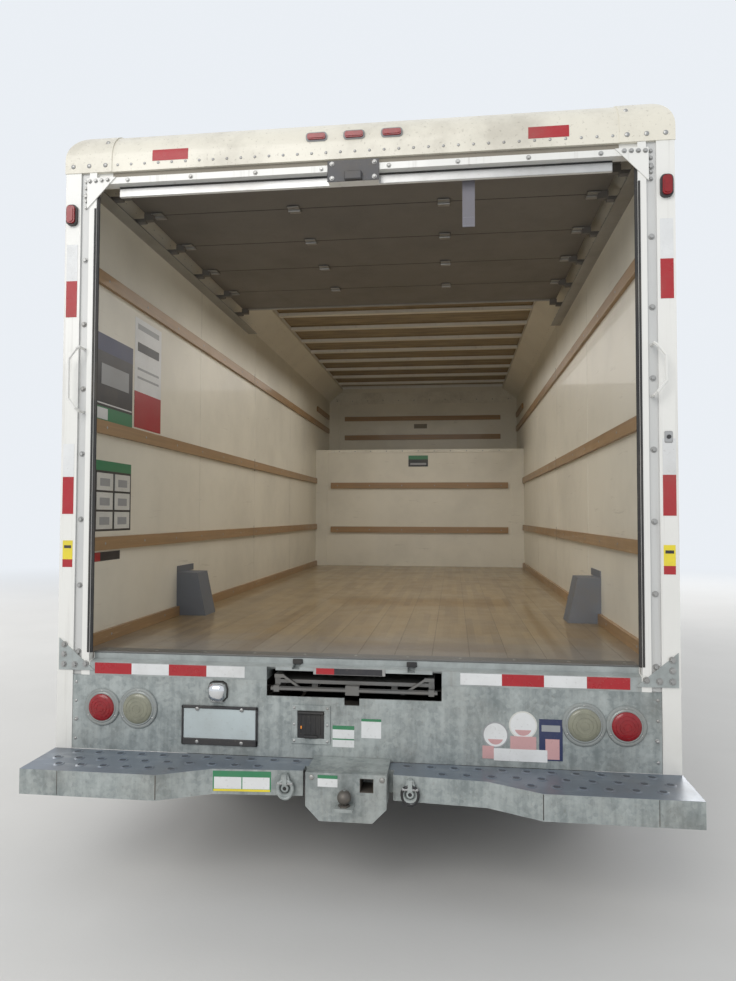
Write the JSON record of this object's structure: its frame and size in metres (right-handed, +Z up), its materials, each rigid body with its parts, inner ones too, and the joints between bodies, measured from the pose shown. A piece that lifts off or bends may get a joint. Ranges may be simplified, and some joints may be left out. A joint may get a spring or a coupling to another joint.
{
  "type": "box truck",
  "caption": "Moving truck: long white van body with attic over a two-door cab, open rear with stowed roll-up door, pull-out ramp, step bumper and hitch.",
  "frame": {"origin": "on the ground, at the middle of the truck's bounding box in plan", "axes": "+Y forward in the direction of travel, +X to the right-hand side, +Z up"},
  "size_m": [2.472, 7.82, 3.103],
  "materials": {
    "box_white": "glossy white coil-coated panel",
    "cab_white": "glossy white automotive paint",
    "wall_liner": "cream glass-fibre panel",
    "galvanised": "spangled hot-dip galvanised steel",
    "aluminium": "mill aluminium",
    "frame_black": "matt black chassis paint",
    "cast_iron": "dusty cast iron",
    "deck_wood": "oiled hardwood planks",
    "slat_wood": "varnished softwood",
    "door_grey": "grey-painted plywood panels",
    "bumper_black": "black moulded plastic",
    "trim_black": "black textured plastic",
    "glass": "tinted glass",
    "lamp_clear": "clear lamp lens",
    "lamp_red": "red lamp lens",
    "tyre": "black tyre rubber",
    "rim_silver": "silver-painted steel",
    "rubber": "black rubber",
    "dash_grey": "grey grained plastic",
    "seat_fabric": "grey woven cloth",
    "webbing": "woven polyester webbing",
    "box_grey": "grey painted plate with a wooden side"
  },
  "bodies": {
    "truck": {"frame": "frame_black", "rear_axle": "cast_iron", "engine": "cast_iron", "fuel_tank": "frame_black", "exhaust": "cast_iron", "underframe": "frame_black", "deck": "deck_wood", "side_wall_left": "box_white", "side_wall_right": "box_white", "front_wall": "wall_liner", "attic_nose": "box_white", "roof": "box_white", "slats": "slat_wood", "arch_boxes": "box_grey", "rear_frame": "box_white", "roof_header": "box_white", "corner_caps": "aluminium", "rear_panel": "galvanised", "rear_lamps": "lamp_red", "step_bumper": "galvanised", "hitch": "galvanised", "mud_flaps": "rubber", "rollup_door": "door_grey", "door_tracks": "galvanised", "pull_strap": "webbing", "cab_shell": "cab_white", "windshield": "glass", "grille": "trim_black", "headlamps": "lamp_clear", "front_bumper": "bumper_black", "dashboard": "dash_grey", "seats": "seat_fabric"},
    "ramp": {"ramp": "aluminium"},
    "hood": {"hood": "cab_white"},
    "door_left": {"door_left": "cab_white", "door_glass_left": "glass"},
    "door_right": {"door_right": "cab_white", "door_glass_right": "glass"},
    "knuckle_left": {"knuckle_left": "cast_iron"},
    "knuckle_right": {"knuckle_right": "cast_iron"},
    "wheel_front_left": {"rim_front_left": "rim_silver", "tyre_front_left": "tyre"},
    "wheel_front_right": {"rim_front_right": "rim_silver", "tyre_front_right": "tyre"},
    "wheels_rear_left": {"rims_rear_left": "rim_silver", "tyres_rear_left": "tyre"},
    "wheels_rear_right": {"rims_rear_right": "rim_silver", "tyres_rear_right": "tyre"},
    "steering_wheel": {"steering_wheel": "trim_black"}
  },
  "joints": [
    {"name": "ramp_slide", "type": "slide", "parent": "truck", "child": "ramp", "axis": [0, -1, 0], "range_m": [0, 2.7]},
    {"name": "hood_hinge", "type": "hinge", "parent": "truck", "child": "hood", "pos_m": [0, 3.314, 1.26411], "axis": [1, 0, 0], "range_deg": [0, 50]},
    {"name": "door_left_hinge", "type": "hinge", "parent": "truck", "child": "door_left", "pos_m": [-1.012, 2.735, 1], "axis": [0, 0, -1], "range_deg": [0, 68]},
    {"name": "door_right_hinge", "type": "hinge", "parent": "truck", "child": "door_right", "pos_m": [1.012, 2.735, 1], "axis": [0, 0, 1], "range_deg": [0, 68]},
    {"name": "steering_wheel_turn", "type": "hinge", "parent": "truck", "child": "steering_wheel", "pos_m": [-0.48, 2.665, 1.29], "axis": [0, -0.8192, 0.5736], "range_deg": [-495, 495]},
    {"name": "steer_left", "type": "hinge", "parent": "truck", "child": "knuckle_left", "pos_m": [-0.77, 3.125, 0.372], "axis": [0, 0, 1], "range_deg": [-33, 33]},
    {"name": "steer_right", "type": "hinge", "parent": "truck", "child": "knuckle_right", "pos_m": [0.77, 3.125, 0.372], "axis": [0, 0, 1], "range_deg": [-33, 33]},
    {"name": "wheel_front_left_spin", "type": "hinge", "parent": "knuckle_left", "child": "wheel_front_left", "pos_m": [-0.88, 3.125, 0.372], "axis": [1, 0, 0], "continuous": true},
    {"name": "wheel_front_right_spin", "type": "hinge", "parent": "knuckle_right", "child": "wheel_front_right", "pos_m": [0.88, 3.125, 0.372], "axis": [1, 0, 0], "continuous": true},
    {"name": "wheels_rear_left_spin", "type": "hinge", "parent": "truck", "child": "wheels_rear_left", "pos_m": [-1.075, -2.19, 0.372], "axis": [1, 0, 0], "continuous": true},
    {"name": "wheels_rear_right_spin", "type": "hinge", "parent": "truck", "child": "wheels_rear_right", "pos_m": [1.075, -2.19, 0.372], "axis": [1, 0, 0], "continuous": true}
  ],
  "couplings": [
    {"joint": "steer_left", "follows": "steering_wheel_turn", "ratio": 0.066667},
    {"joint": "steer_right", "follows": "steering_wheel_turn", "ratio": 0.066667}
  ]
}
